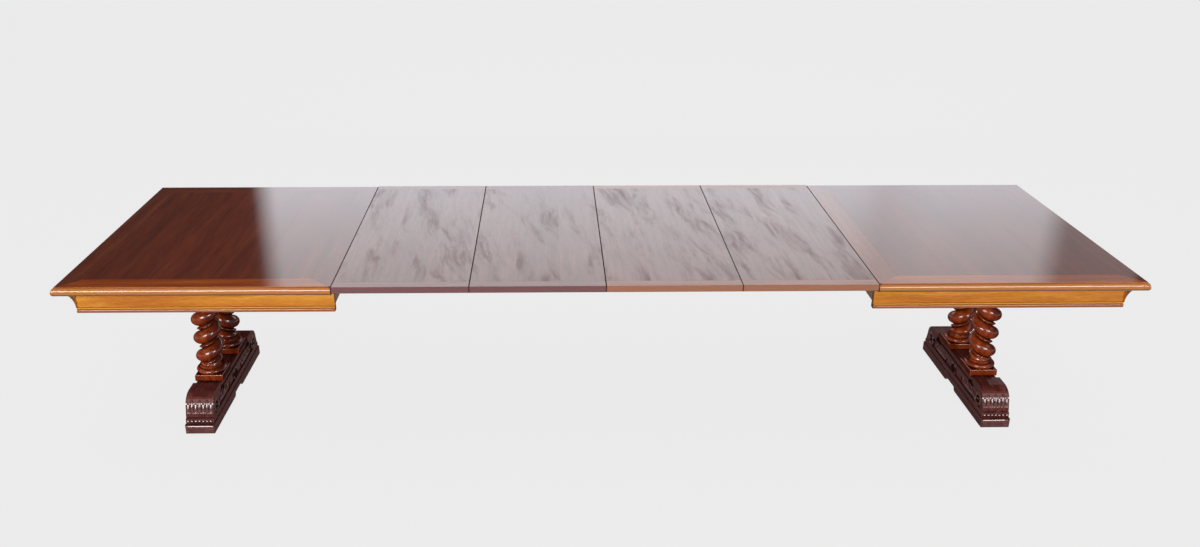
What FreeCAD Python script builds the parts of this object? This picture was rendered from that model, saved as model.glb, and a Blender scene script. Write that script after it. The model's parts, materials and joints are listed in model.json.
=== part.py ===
import FreeCAD, Part
import math
import os

V = FreeCAD.Vector

# Whole table. X runs along the table, Y across it, Z up; the origin is on the
# floor under the middle of the top. All lengths are in millimetres.
table_height = 770.0
table_width = 1260.0
top_thickness = 26.0
end_length = 1044.0
leaf_width = 518.0
leaf_clearance = 0.4
leaf_count = 4

# Top of each end: mitred border, boarded field and thumb-moulded edge, which
# is built up thicker than the boards by a lip under its rim.
border_width = 90.0
field_board_count = 4
board_line = 0.3
thumb_width = 11.0
thumb_quirk = 2.5
nose_underround = 13.0
edge_thickness = 35.0
lip_width = 18.0
joint_arris = 2.0

# Leaves: cross bands at the ends, battens under the boards.
leaf_band_width = 50.0
leaf_arris = 2.0
batten_width = 34.0
batten_depth = 20.0
batten_end_margin = 45.0
batten_slide_clearance = 4.0

# Apron round each end: a flat band above a fillet and a half-round bead on the
# long sides, a deep cove in place of the band across the end.
apron_height = 96.0
apron_setback = 45.0
apron_end_setback = 66.0
apron_thickness = 30.0
apron_end_flare = 44.0
apron_top_fillet = 16.0
bead_height = 18.0
bead_depth = 8.0
fillet_height = 4.0
fillet_step = 4.0

# Cross rail at the open side of each end, notched for the slides.
rail_thickness = 25.0
rail_inset = 2.0
rail_height = 73.0
notch_clearance = 3.0
corner_block_side = 42.0
corner_block_height = 60.0

# Telescopic slides: a fixed bar under each end and a middle bar between.
slide_height = 52.0
slide_thickness = 34.0
slide_spacing = 290.0
slide_side_clearance = 0.6
slide_end_margin = 40.0
slide_overlap = 310.0
middle_slide_length = 1500.0
dovetail_mouth = 14.0
dovetail_root = 20.0
dovetail_depth = 10.0
dovetail_clearance = 0.4
slide_travel = 40.0
stop_peg_diameter = 8.0
stop_peg_margin = 16.0
stop_peg_fit = 0.1
stop_clearance = 0.5

# Pedestal head: bearer board under the slides, packing blocks, and a yoke.
pedestal_inset = 389.0
bearer_width = 160.0
bearer_thickness = 28.0
bearer_slide_clearance = 15.0
bearer_housing = 8.0
housing_clearance = 0.2
packing_width = 70.0
packing_clearance = 24.0
yoke_width = 120.0
yoke_depth = 50.0
yoke_overhang = 72.0
yoke_end_round = 30.0

# Columns: square plinth and cap left on the turned and twisted shaft.
column_spacing = 260.0
plinth_side = 120.0
plinth_height = 30.0
cap_height = 30.0
block_round = 4.0
torus_diameter = 128.0
torus_height = 22.0
collar_diameter = 98.0
collar_height = 12.0
neck_diameter = 88.0
twist_pitch = 86.0
twist_diameter = 121.0
groove_diameter = 57.0
ridge_diameter = 83.0
twist_phase_height = 244.0
twist_run_out = 26.0
tenon_diameter = 40.0
tenon_length = 40.0
tenon_clearance = 0.3
strand_half_share = 0.385
strand_roundness_share = 0.62
ridge_roundness_share = 0.75

# Sledge foot: base board with a relieved middle, carved beam on top of it.
foot_length = 778.0
foot_width = 122.0
base_height = 40.0
base_round = 7.0
base_nose = 8.0
base_corner = 9.0
relief_length = 96.0
relief_height = 17.0
seat_height = 146.0
beam_width = 116.0
beam_length = 706.0
toe_top_height = 158.0
toe_top_length = 60.0
toe_shoulder_length = 67.0
toe_shoulder_height = 54.0
toe_step_length = 12.0
toe_neck_height = 70.0
toe_neck_projection = 11.0
toe_bead_height = 24.0
toe_bead_projection = 19.0
side_panel_low = 66.0
side_panel_depth = 6.0
side_panel_margin = 18.0
side_rail_height = 13.0
side_rail_top = 124.0
side_rail_relief = 5.0
boss_side = 46.0
boss_chamfer = 4.0
eye_length = 66.0
eye_height = 26.0
eye_depth = 10.0
eye_inset = 144.0
eye_level = 122.0

# Shape of a quarter round drawn as one smooth curve, and loft fineness.
quarter_round_share = 0.5523
twist_points_round = 44
twist_rows_per_turn = 12

half_width = table_width / 2
top_under = table_height - top_thickness
lip_under = table_height - edge_thickness
leaves_length = leaf_count * leaf_width + (leaf_count + 1) * leaf_clearance
joint_x = leaves_length / 2
outer_x = joint_x + end_length
apron_bottom = top_under - apron_height
apron_back = half_width - apron_setback - apron_thickness
apron_end_face = outer_x - apron_end_setback
apron_end_back = apron_end_face - apron_thickness
slide_bottom = top_under - slide_height
bearer_top = slide_bottom - bearer_slide_clearance
bearer_bottom = bearer_top - bearer_thickness
yoke_bottom = bearer_bottom - yoke_depth
pedestal_x = outer_x - pedestal_inset
column_y = column_spacing / 2
slide_pitch = slide_thickness + slide_side_clearance
slides_inner = slide_spacing - slide_pitch - slide_thickness / 2
slides_outer = slide_spacing + slide_pitch + slide_thickness / 2
X_AXIS = V(1, 0, 0)
Y_AXIS = V(0, 1, 0)
Z_AXIS = V(0, 0, 1)
ORIGIN = V(0, 0, 0)

os.makedirs("parts", exist_ok=True)


def box(x0, x1, y0, y1, z0, z1):
    """Block between opposite corners."""
    return Part.makeBox(x1 - x0, y1 - y0, z1 - z0, V(x0, y0, z0))


def in_xz(y):
    """Place outline points across the table's width plane."""
    return lambda u, v: V(u, y, v)


def in_yz(x):
    """Place outline points in a plane square to the length."""
    return lambda u, v: V(x, u, v)


def in_xy(z):
    """Place outline points in a level plane."""
    return lambda u, v: V(u, v, z)


def outline(start, steps, place):
    """Closed face from straight steps (end,) and quarter rounds (corner, end)."""
    edges = []
    here = start
    for step in steps + [(start,)]:
        target = step[-1]
        a = place(*here)
        b = place(*target)
        if len(step) == 2:
            corner = place(*step[0])
            curve = Part.BezierCurve()
            bend_a = a + (corner - a) * quarter_round_share
            bend_b = b + (corner - b) * quarter_round_share
            curve.setPoles([a, bend_a, bend_b, b])
            edges.append(curve.toShape())
        elif (b - a).Length > 0:
            edges.append(Part.LineSegment(a, b).toShape())
        here = target
    return Part.Face(Part.Wire(edges))


def backward(start, steps):
    """The same run of steps walked from its end to its start."""
    points = [start] + [step[-1] for step in steps]
    result = []
    for number in range(len(steps) - 1, -1, -1):
        step = steps[number]
        result.append((step[0], points[number]) if len(step) == 2 else (points[number],))
    return result


def group(solids):
    """Separate solids kept together as one piece."""
    return Part.makeCompound(solids)


def flip_x(shape):
    """The same piece at the other end of the table."""
    return shape.mirror(ORIGIN, X_AXIS)


def flip_y(shape):
    """The same piece on the other long side of the table."""
    return shape.mirror(ORIGIN, Y_AXIS)


def save(shape, node):
    """Write one piece."""
    shape.exportStep("parts/" + node + ".step")


def nose_steps(nose, inward):
    """Thumb moulding from the top face over the nose, under the lip and behind it."""
    quirk_z = table_height - thumb_quirk
    widest_z = lip_under + nose_underround
    return [
        ((nose + inward * thumb_width, table_height),),
        ((nose + inward * thumb_width, quirk_z),),
        ((nose, quirk_z), (nose, widest_z)),
        ((nose, lip_under), (nose + inward * nose_underround, lip_under)),
        ((nose + inward * lip_width, lip_under),),
        ((nose + inward * lip_width, top_under),),
    ]


def joint_bevel(x, inward):
    """Wedge that eases the top arris of a joint edge across the table."""
    steps = [((x + inward * joint_arris, table_height),), ((x, table_height - joint_arris),)]
    face = outline((x, table_height), steps, in_xz(-half_width))
    return face.extrude(V(0, table_width, 0))


def end_top():
    """Field and mitred borders of the right-hand end, moulded on three sides."""
    long_steps = nose_steps(outer_x, -1) + [((joint_x, top_under),)]
    long_face = outline((joint_x, table_height), long_steps, in_xz(-table_width))
    ridge = (0, table_height)
    front_edge = nose_steps(-half_width, 1)
    cross_steps = nose_steps(half_width, -1) + [(front_edge[-1][-1],)]
    cross_steps += backward(ridge, front_edge)
    cross_face = outline(ridge, cross_steps, in_yz(0))
    end_stock = long_face.extrude(V(0, 2 * table_width, 0))
    side_stock = cross_face.extrude(V(2 * outer_x, 0, 0))
    side_stock = side_stock.cut(joint_bevel(joint_x, 1))
    xa = joint_x + border_width
    xb = outer_x - border_width
    ya = half_width - border_width
    front = [(joint_x, -half_width), (outer_x, -half_width), (xb, -ya), (xa, -ya)]
    outer = [(outer_x, -half_width), (outer_x, half_width), (xb, ya), (xb, -ya)]
    inner = [(joint_x, half_width), (joint_x, -half_width), (xa, -ya), (xa, ya)]
    borders = []
    for corners, stock in ((front, side_stock), (outer, end_stock), (inner, side_stock)):
        steps = [(corner,) for corner in corners[1:]]
        face = outline(corners[0], steps, in_xy(lip_under))
        borders.append(stock.common(face.extrude(V(0, 0, edge_thickness))))
    boards = []
    board = (xb - xa - board_line) / field_board_count
    for number in range(field_board_count):
        x0 = xa + board_line + number * board
        boards.append(box(x0, x0 + board - board_line, -ya + board_line, ya - board_line,
                          top_under, table_height))
    return borders[0], borders[1], borders[2], group(boards)


def apron_steps(nose, setback, inward):
    """Bead and fillet of an apron, from its back to the top of the fillet."""
    face = nose + inward * setback
    flat = face + inward * bead_depth
    bead_top = apron_bottom + bead_height
    ledge = bead_top + fillet_height
    return [
        ((face + inward * apron_thickness, apron_bottom),),
        ((flat, apron_bottom),),
        ((face, apron_bottom), (face, apron_bottom + bead_height / 2)),
        ((face, bead_top), (flat, bead_top)),
        ((flat - inward * fillet_step, bead_top),),
        ((flat - inward * fillet_step, ledge),),
    ]


def apron_front():
    """Long apron board of the right-hand end, housed for the bearer."""
    start = (-apron_back, top_under)
    steps = apron_steps(-half_width, apron_setback, 1)
    band_y = -half_width + apron_setback + bead_depth
    steps += [((band_y, steps[-1][-1][1]),), ((band_y, top_under),)]
    face = outline(start, steps, in_yz(joint_x))
    board = face.extrude(V(apron_end_face - joint_x, 0, 0))
    reach = bearer_width / 2 + housing_clearance
    housing = box(pedestal_x - reach, pedestal_x + reach,
                  -apron_back - bearer_housing - housing_clearance, -apron_back,
                  bearer_bottom - housing_clearance, bearer_top + housing_clearance)
    return board.cut(housing)


def apron_outer():
    """Short apron board with its cove, lapped behind the ends of the long ones."""
    start = (apron_end_back, top_under)
    steps = apron_steps(outer_x, apron_end_setback, -1)
    cove_z = top_under - apron_top_fillet
    flare = apron_end_face + apron_end_flare
    steps.append(((apron_end_face, steps[-1][-1][1]),))
    steps += [((apron_end_face, cove_z), (flare, cove_z)), ((flare, top_under),)]
    face = outline(start, steps, in_xz(-half_width + apron_setback))
    reach = half_width - apron_setback
    board = face.extrude(V(0, 2 * reach, 0))
    for y0, y1 in ((-reach, -apron_back), (apron_back, reach)):
        board = board.cut(box(apron_end_back, apron_end_face, y0, y1, apron_bottom, top_under))
    return board


def rail_inner():
    """Cross rail just inside the opening, notched over the slides."""
    x0 = joint_x + rail_inset
    x1 = x0 + rail_thickness
    rail = box(x0, x1, -apron_back, apron_back, top_under - rail_height, top_under)
    y0 = slides_inner - notch_clearance
    y1 = slides_outer + notch_clearance
    low = slide_bottom - notch_clearance
    for sign_low, sign_high in ((y0, y1), (-y1, -y0)):
        rail = rail.cut(box(x0, x1, sign_low, sign_high, low, top_under))
    return rail


def corner_blocks():
    """Four glue blocks in the corners of the apron frame."""
    blocks = []
    low = top_under - corner_block_height
    near = joint_x + rail_inset + rail_thickness
    for x0 in (near, apron_end_back - corner_block_side):
        for y0 in (-apron_back, apron_back - corner_block_side):
            blocks.append(box(x0, x0 + corner_block_side, y0, y0 + corner_block_side,
                              low, top_under))
    return group(blocks)


def bearer():
    """Board across the frame that joins the pedestal to the aprons."""
    reach = apron_back + bearer_housing
    return box(pedestal_x - bearer_width / 2, pedestal_x + bearer_width / 2,
               -reach, reach, bearer_bottom, bearer_top)


def packing_blocks():
    """Blocks between bearer and top, clear of the slides."""
    x0 = pedestal_x - packing_width / 2
    x1 = pedestal_x + packing_width / 2
    inside = slides_inner - packing_clearance
    outside = slides_outer + packing_clearance
    spans = ((-apron_back, -outside), (-inside, inside), (outside, apron_back))
    return group([box(x0, x1, y0, y1, bearer_top, top_under) for y0, y1 in spans])


def tenon_hole(y, z0, z1):
    """Round mortise for a column tenon."""
    radius = tenon_diameter / 2 + tenon_clearance
    return Part.makeCylinder(radius, z1 - z0, V(pedestal_x, y, z0))


def yoke():
    """Head beam on the two columns, with rounded undersides at its ends."""
    reach = column_y + plinth_side / 2 + yoke_overhang
    rise = yoke_bottom + yoke_end_round
    steps = [
        ((-reach, rise),),
        ((-reach, yoke_bottom), (-reach + yoke_end_round, yoke_bottom)),
        ((reach - yoke_end_round, yoke_bottom),),
        ((reach, yoke_bottom), (reach, rise)),
        ((reach, bearer_bottom),),
    ]
    face = outline((-reach, bearer_bottom), steps, in_yz(pedestal_x - yoke_width / 2))
    beam = face.extrude(V(yoke_width, 0, 0))
    top = yoke_bottom + tenon_length + tenon_clearance
    for y in (-column_y, column_y):
        beam = beam.cut(tenon_hole(y, yoke_bottom, top))
    return beam


def strand_radius(turn):
    """Radius of the twisted shaft at a share of a turn from the strand's crest."""
    away = abs((turn + 0.5) % 1.0 - 0.5)
    groove = groove_diameter / 2
    if away < strand_half_share:
        rise = 1.0 - (away / strand_half_share) ** 2
        return groove + (twist_diameter / 2 - groove) * rise ** strand_roundness_share
    inside = (0.5 - away) / (0.5 - strand_half_share)
    return groove + (ridge_diameter / 2 - groove) * (1.0 - inside ** (2 * ridge_roundness_share))


def twisted_shaft(z0, z1, crest_angle, crest_z):
    """One thick strand wound with a thin ridge in its groove, as one solid."""
    rows = math.ceil(twist_rows_per_turn * (z1 - z0) / twist_pitch)
    count = twist_points_round
    row_turn = (z1 - z0) / rows / twist_pitch
    smooth = (2 + math.cos(2 * math.pi * row_turn)) / 3
    neck = neck_diameter / 2
    grid = []
    for point in range(count):
        line = []
        for row in range(rows + 1):
            z = z0 + (z1 - z0) * row / rows
            turn = point / count
            angle = crest_angle + 2 * math.pi * (turn + (z - crest_z) / twist_pitch)
            blend = min(1.0, min(z - z0, z1 - z) / twist_run_out)
            blend = blend * blend * (3 - 2 * blend)
            radius = neck + (strand_radius(turn) - neck) * blend
            radius = radius / (smooth * blend + (1 - blend))
            line.append(V(radius * math.cos(angle), radius * math.sin(angle), z))
        grid.append(line)
    degree = 3
    knots_round = list(range(count + 1))
    knots_up = list(range(rows - degree + 2))
    mults_up = [degree + 1] + [1] * (rows - degree) + [degree + 1]
    skin = Part.BSplineSurface()
    skin.buildFromPolesMultsKnots(grid, [1] * (count + 1), mults_up, knots_round, knots_up,
                                  True, False, degree, degree)
    side = skin.toShape()
    caps = []
    for edge in side.Edges:
        if edge.BoundBox.ZLength < twist_run_out / rows:
            caps.append(Part.Face(Part.Wire([edge])))
    shell = Part.makeShell([side] + caps)
    shell.sewShape()
    solid = Part.Solid(Part.Shell(shell.Faces))
    if solid.Volume < 0:
        solid.reverse()
    return solid


def turned(points):
    """Solid of revolution on the column axis from radius and height steps."""
    start = (0, points[0][-1][1])
    steps = points + [((0, points[-1][-1][1]),)]
    face = outline(start, steps, in_xz(0))
    return face.revolve(ORIGIN, Z_AXIS, 360)


def torus_steps(low, high):
    """Half-round ring between two heights."""
    radius = torus_diameter / 2
    core = radius - (high - low) / 2
    middle = (low + high) / 2
    return [((core, low),), ((radius, low), (radius, middle)), ((radius, high), (core, high))]


def square_block(z0, z1):
    """Square plinth or cap with rounded arrises."""
    half = plinth_side / 2
    block = box(-half, half, -half, half, z0, z1)
    level = [e for e in block.Edges if e.BoundBox.ZLength < block_round]
    return block.makeFillet(block_round, level)


def column():
    """Front column of the left-hand end on its own axis: base, twist and head."""
    plinth_top = seat_height + plinth_height
    cap_low = yoke_bottom - cap_height
    torus_top = plinth_top + torus_height
    collar_top = torus_top + collar_height
    head_torus_low = cap_low - torus_height
    head_collar_low = head_torus_low - collar_height
    collar = collar_diameter / 2
    foot_turning = turned([((tenon_diameter / 2, seat_height - tenon_length),),
                           ((tenon_diameter / 2, plinth_top),)]
                          + torus_steps(plinth_top, torus_top)
                          + [((collar, torus_top),), ((collar, collar_top),)])
    head_turning = turned([((collar, head_collar_low),), ((collar, head_torus_low),)]
                          + torus_steps(head_torus_low, cap_low)
                          + [((tenon_diameter / 2, cap_low),),
                             ((tenon_diameter / 2, yoke_bottom + tenon_length),)])
    shaft = twisted_shaft(collar_top, head_collar_low, math.pi, twist_phase_height)
    body = shaft.fuse(foot_turning).fuse(head_turning)
    body = body.fuse(square_block(seat_height, plinth_top))
    body = body.fuse(square_block(cap_low, yoke_bottom))
    return body.removeSplitter()


def foot_base():
    """Base board of the sledge foot: round nose, round corners, relieved middle."""
    reach = foot_length / 2
    relief = relief_length / 2
    bend = relief_height
    nose_z = base_height - base_nose
    steps = [
        ((-reach, base_height), (-reach, nose_z)),
        ((-reach, base_round),),
        ((-reach, 0), (-reach + base_round, 0)),
        ((-relief - bend, 0),),
        ((-relief, 0), (-relief, relief_height)),
        ((relief, relief_height),),
        ((relief, 0), (relief + bend, 0)),
        ((reach - base_round, 0),),
        ((reach, 0), (reach, base_round)),
        ((reach, nose_z),),
        ((reach, base_height), (reach - base_nose, base_height)),
    ]
    x0 = pedestal_x - foot_width / 2
    face = outline((-reach + base_nose, base_height), steps, in_yz(x0))
    plan = box(x0, x0 + foot_width, -reach, reach, 0, base_height)
    upright = [e for e in plan.Edges if e.BoundBox.ZLength > base_corner]
    plan = plan.makeFillet(base_corner, upright)
    return face.extrude(V(foot_width, 0, 0)).common(plan)


def toe_steps(side):
    """Toe of the foot from the base up over the shoulder to the seat."""
    end = beam_length / 2
    bead_z = base_height + toe_bead_height
    bead_out = end + toe_bead_projection
    neck_out = end + toe_neck_projection
    shoulder_z = toe_top_height - toe_shoulder_height
    crown = end - toe_shoulder_length
    step_in = crown - toe_top_length
    steps = [
        (bead_out, base_height),
        (bead_out, bead_z),
        (neck_out, bead_z),
        (neck_out, toe_neck_height),
        (end, shoulder_z),
        ((end, toe_top_height), (crown, toe_top_height)),
        (step_in, toe_top_height),
        ((step_in, seat_height), (step_in - toe_step_length, seat_height)),
    ]
    placed = []
    for step in steps:
        pair = step if isinstance(step[0], tuple) else (step,)
        placed.append(tuple((side * y, z) for y, z in pair))
    return placed


def eye_hollow(skin, inward, y):
    """Oval hollow cut in the side of the foot behind a toe."""
    middle = V(skin, y, eye_level)
    rim = Part.Ellipse(middle + V(0, eye_length / 2, 0), middle + V(0, 0, eye_height / 2), middle)
    face = Part.Face(Part.Wire([rim.toShape()]))
    return face.extrude(V(inward * eye_depth, 0, 0))


def foot_beam():
    """Carved beam of the sledge foot with sunk side panels and mortises."""
    front = toe_steps(-1)
    rear = toe_steps(1)
    rear_start = (0, base_height)
    rear_walk = backward(rear_start, rear)
    steps = front + [(rear[-1][-1],)] + rear_walk
    face = outline((0, base_height), steps, in_yz(pedestal_x - beam_width / 2))
    beam = face.extrude(V(beam_width, 0, 0))
    end = beam_length / 2 - side_panel_margin
    low = side_panel_low
    high = side_rail_top - side_rail_height
    bend = high - low
    flat = end - bend
    steps = [
        ((end, low),),
        ((end, high), (flat, high)),
        ((-flat, high),),
        ((-end, high), (-end, low)),
    ]
    relief_reach = beam_length / 2 - toe_shoulder_length - toe_top_length
    half_boss = boss_side / 2
    boss_z = (low + high) / 2
    for side in (-1, 1):
        skin = pedestal_x + side * beam_width / 2
        floor = skin - side * side_panel_depth
        panel = outline((-end, low), steps, in_yz(skin)).extrude(V(floor - skin, 0, 0))
        beam = beam.cut(panel)
        shelf = sorted((skin, skin - side * side_rail_relief))
        beam = beam.cut(box(shelf[0], shelf[1], -relief_reach, relief_reach,
                            side_rail_top, seat_height))
        boss_x = sorted((floor, skin))
        boss = box(boss_x[0], boss_x[1], -half_boss, half_boss,
                   boss_z - half_boss, boss_z + half_boss)
        face_edges = [e for e in boss.Edges if abs(e.BoundBox.Center.x - skin) < boss_chamfer / 2]
        boss = boss.makeChamfer(boss_chamfer, face_edges)
        beam = beam.fuse(boss)
        for y in (eye_inset - beam_length / 2, beam_length / 2 - eye_inset):
            beam = beam.cut(eye_hollow(skin, -side, y))
    for y in (-column_y, column_y):
        beam = beam.cut(tenon_hole(y, seat_height - tenon_length - tenon_clearance, seat_height))
    return beam


def dovetail(face_y, tip_y, trim, x0, x1):
    """Dovetail bar along X, from its narrow root line to its wide tip."""
    middle = slide_bottom + slide_height / 2
    narrow = dovetail_mouth / 2 - trim
    wide = dovetail_root / 2 - trim
    steps = [((face_y, middle + narrow),), ((tip_y, middle + wide),), ((tip_y, middle - wide),)]
    face = outline((face_y, middle - narrow), steps, in_yz(x0))
    return face.extrude(V(x1 - x0, 0, 0))


def fixed_slide(side):
    """Grooved bar screwed under one end, and the peg that stops the groove.

    The groove faces the middle bar: on the far side of it when side is 1.
    """
    centre = slide_spacing + side * slide_pitch
    near = centre - side * slide_thickness / 2
    far = centre + side * slide_thickness / 2
    x1 = apron_end_back - slide_end_margin
    x0 = middle_slide_length / 2 - slide_overlap
    y0, y1 = sorted((near, far))
    bar = box(x0, x1, y0, y1, slide_bottom, top_under)
    bar = bar.cut(dovetail(near, near + side * dovetail_depth, 0, x0, x1))
    peg_x = x0 + stop_peg_margin
    peg_z = slide_bottom + slide_height / 2
    start = V(peg_x, far, peg_z)
    reach = V(0, -side, 0)
    hole = Part.makeCylinder(stop_peg_diameter / 2 + stop_peg_fit, slide_thickness, start, reach)
    peg = Part.makeCylinder(stop_peg_diameter / 2, slide_thickness, start, reach)
    return bar.cut(hole), peg


def middle_slide():
    """Middle bar with a dovetail tongue at each end, on opposite sides."""
    half = middle_slide_length / 2
    y0 = slide_spacing - slide_thickness / 2
    y1 = slide_spacing + slide_thickness / 2
    bar = box(-half, half, y0, y1, slide_bottom, top_under)
    stop = half - slide_overlap + stop_peg_margin + stop_peg_diameter / 2
    tongue = stop + slide_travel + stop_clearance
    tip = slide_side_clearance + dovetail_depth - dovetail_clearance
    bar = bar.fuse(dovetail(y1, y1 + tip, dovetail_clearance, -half, -tongue))
    bar = bar.fuse(dovetail(y0, y0 - tip, dovetail_clearance, tongue, half))
    return bar.removeSplitter()


def leaf(number):
    """Board, cross bands and battens of one loose leaf."""
    x0 = -joint_x + leaf_clearance + number * (leaf_width + leaf_clearance)
    x1 = x0 + leaf_width
    inside = half_width - leaf_band_width
    board = box(x0, x1, -inside + board_line, inside - board_line, top_under, table_height)
    bevels = group([joint_bevel(x0, 1), joint_bevel(x1, -1)])
    steps = [
        ((-half_width, table_height - leaf_arris),),
        ((-half_width, table_height), (-half_width + leaf_arris, table_height)),
        ((-inside, table_height),),
        ((-inside, top_under),),
        ((-half_width + leaf_arris, top_under),),
    ]
    face = outline((-half_width, top_under + leaf_arris), steps, in_yz(x0))
    band = face.extrude(V(leaf_width, 0, 0))
    y1 = slides_inner - batten_slide_clearance
    batten = box(x0 + batten_end_margin, x1 - batten_end_margin, y1 - batten_width, y1,
                 top_under - batten_depth, top_under)
    board = board.cut(bevels)
    band = band.cut(bevels)
    return board, group([band, flip_y(band)]), group([batten, flip_y(batten)])


border_front, border_outer, border_inner, field = end_top()
front_apron = apron_front()
end_apron = apron_outer()
cross_rail = rail_inner()
blocks = corner_blocks()
board = bearer()
packing = packing_blocks()
head = yoke()
base = foot_base()
beam = foot_beam()

own_axis_column = column()
left_front = own_axis_column.translated(V(-pedestal_x, -column_y, 0))

outer_bar, outer_peg = fixed_slide(1)
inner_bar, inner_peg = fixed_slide(-1)

right_pieces = {
    "top_field": field,
    "top_border_front": border_front,
    "top_border_back": flip_y(border_front),
    "top_border_outer": border_outer,
    "top_border_inner": border_inner,
    "apron_front": front_apron,
    "apron_back": flip_y(front_apron),
    "apron_outer": end_apron,
    "rail_inner": cross_rail,
    "corner_blocks": blocks,
    "bearer": board,
    "packing_blocks": packing,
    "yoke": head,
    "column_front": flip_x(left_front),
    "column_back": flip_x(flip_y(left_front)),
    "foot_base": base,
    "foot_beam": beam,
}
for piece, shape in right_pieces.items():
    save(shape, "right_" + piece)
    save(flip_x(shape), "left_" + piece)

save(group([inner_bar, flip_y(inner_bar)]), "right_slides")
save(group([inner_peg, flip_y(inner_peg)]), "right_slide_stops")
save(flip_x(group([outer_bar, flip_y(outer_bar)])), "left_slides")
save(flip_x(group([outer_peg, flip_y(outer_peg)])), "left_slide_stops")

bar = middle_slide()
save(bar, "middle_slide_back")
save(flip_y(bar), "middle_slide_front")

for number in range(leaf_count):
    leaf_board, leaf_bands, leaf_battens = leaf(number)
    save(leaf_board, "leaf_" + str(number + 1) + "_board")
    save(leaf_bands, "leaf_" + str(number + 1) + "_bands")
    save(leaf_battens, "leaf_" + str(number + 1) + "_battens")
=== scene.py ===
"""Looks of the double pedestal dining table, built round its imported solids."""

import json
import logging
import math
from dataclasses import dataclass, field, replace
from enum import Enum
from functools import cache

import bmesh
import bpy
from bpy.types import Material, NodeOutputs, NodeSocket, NodeTree, Object
from mathutils import Matrix, Vector


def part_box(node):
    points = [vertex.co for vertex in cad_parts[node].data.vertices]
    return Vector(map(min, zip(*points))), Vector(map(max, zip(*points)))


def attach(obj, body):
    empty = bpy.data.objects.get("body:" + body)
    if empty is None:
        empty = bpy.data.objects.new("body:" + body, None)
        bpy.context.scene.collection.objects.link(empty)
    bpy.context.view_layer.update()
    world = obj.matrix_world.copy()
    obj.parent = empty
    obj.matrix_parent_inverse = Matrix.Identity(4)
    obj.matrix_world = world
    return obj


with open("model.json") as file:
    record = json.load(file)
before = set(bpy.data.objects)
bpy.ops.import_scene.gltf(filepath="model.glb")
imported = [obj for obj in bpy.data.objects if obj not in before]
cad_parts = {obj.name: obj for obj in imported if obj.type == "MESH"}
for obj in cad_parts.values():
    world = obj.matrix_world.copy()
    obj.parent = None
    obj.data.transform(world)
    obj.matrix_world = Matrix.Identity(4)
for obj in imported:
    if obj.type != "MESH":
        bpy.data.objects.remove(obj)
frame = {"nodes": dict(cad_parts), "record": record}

Pair = tuple[float, float]
Triple = tuple[float, float, float]
Stops = tuple[tuple[float, str], ...]

logging.basicConfig(level=logging.INFO, format="%(message)s")
LOG = logging.getLogger("dining_table")

MM = 0.001
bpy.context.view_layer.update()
SMOOTH_ANGLE = math.radians(32)
SIDES = ("left", "right")
SLOT_OF = {part["node"]: part["material_slot"] for part in frame["record"]["subparts"]}
# Dark colours laid on the woods: wax in joints, thirsty sawn ends, and painted shade in
# hollows, under a moulded rim, on flat flanks and on sides that face right.
JOINT_WAX = "#1d100d"
HOLLOW_SHADE = "#140806"
UNDER_RIM_SHADE = "#2c120a"
SAWN_END = "#1c0d08"
FLANK_SHADE = "#2c100c"
RIGHT_SIDE_SHADE = "#3c0e0a"


class Grain(Enum):
    """Direction that the fibres of a piece run in."""

    ALONG = 0
    ACROSS = 1
    UPRIGHT = 2


class Figure(Enum):
    """Pattern that the cut shows beside its straight grain."""

    PLAIN = "plain"
    CLOUDED = "clouded"


def linear(colour: str) -> tuple[float, float, float, float]:
    """Turns an sRGB hex value to linear light.

    Args:
        colour: six hex digits after a hash sign.

    Returns:
        Red, green, blue and a full alpha.
    """
    channels = []
    for start in (1, 3, 5):
        value = int(colour[start:start + 2], 16) / 255
        low = value / 12.92
        high = ((value + 0.055) / 1.055) ** 2.4
        channels.append(low if value <= 0.04045 else high)
    return (*channels, 1.0)


def add_node(tree: NodeTree, kind: str, inputs: dict | None = None,
             **settings: object) -> NodeOutputs:
    """Adds one node with its settings, socket values and links.

    Args:
        tree: node tree that gets the node.
        kind: node type name after its ShaderNode.
        inputs: value or source socket for each input, by name or number.
        settings: attributes of the node.

    Returns:
        The new node's outputs.
    """
    made = tree.nodes.new(f"ShaderNode{kind}")
    for name, value in settings.items():
        setattr(made, name, value)
    for socket, value in (inputs or {}).items():
        if isinstance(value, NodeSocket):
            tree.links.new(value, made.inputs[socket])
        else:
            made.inputs[socket].default_value = value
    return made.outputs


def set_ramp(ramp: NodeSocket, stops: Stops) -> None:
    """Gives a colour ramp its stops.

    Args:
        ramp: colour output of the ramp.
        stops: place along the ramp and hex colour of each stop, in order.
    """
    elements = ramp.node.color_ramp.elements
    while len(elements) < len(stops):
        elements.new(0.5)
    for element, (place, colour) in zip(elements, stops):
        element.position = place
        element.color = linear(colour)


def blank_material(name: str) -> tuple[Material, NodeTree]:
    """Starts a material with an empty node tree.

    Args:
        name: material name.

    Returns:
        The material and its tree.
    """
    made = bpy.data.materials.new(name)
    made.use_nodes = True
    made.node_tree.nodes.clear()
    return made, made.node_tree


@dataclass
class Layer:
    """Stain, film, painted shade or painted highlight whose share follows a measure of the
    surface.

    While the measure runs over its span, the share runs over its two ends.
    """

    measure: NodeSocket
    colour: str = ""
    span: Pair = (0.0, 1.0)
    share: Pair = (0.0, 1.0)

    def amount(self, tree: NodeTree) -> NodeSocket:
        """Gives how much of the layer lies at each point of the surface."""
        return add_node(tree, "MapRange", {
            "Value": self.measure, "From Min": self.span[0], "From Max": self.span[1],
            "To Min": self.share[0], "To Max": self.share[1]})["Result"]


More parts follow.
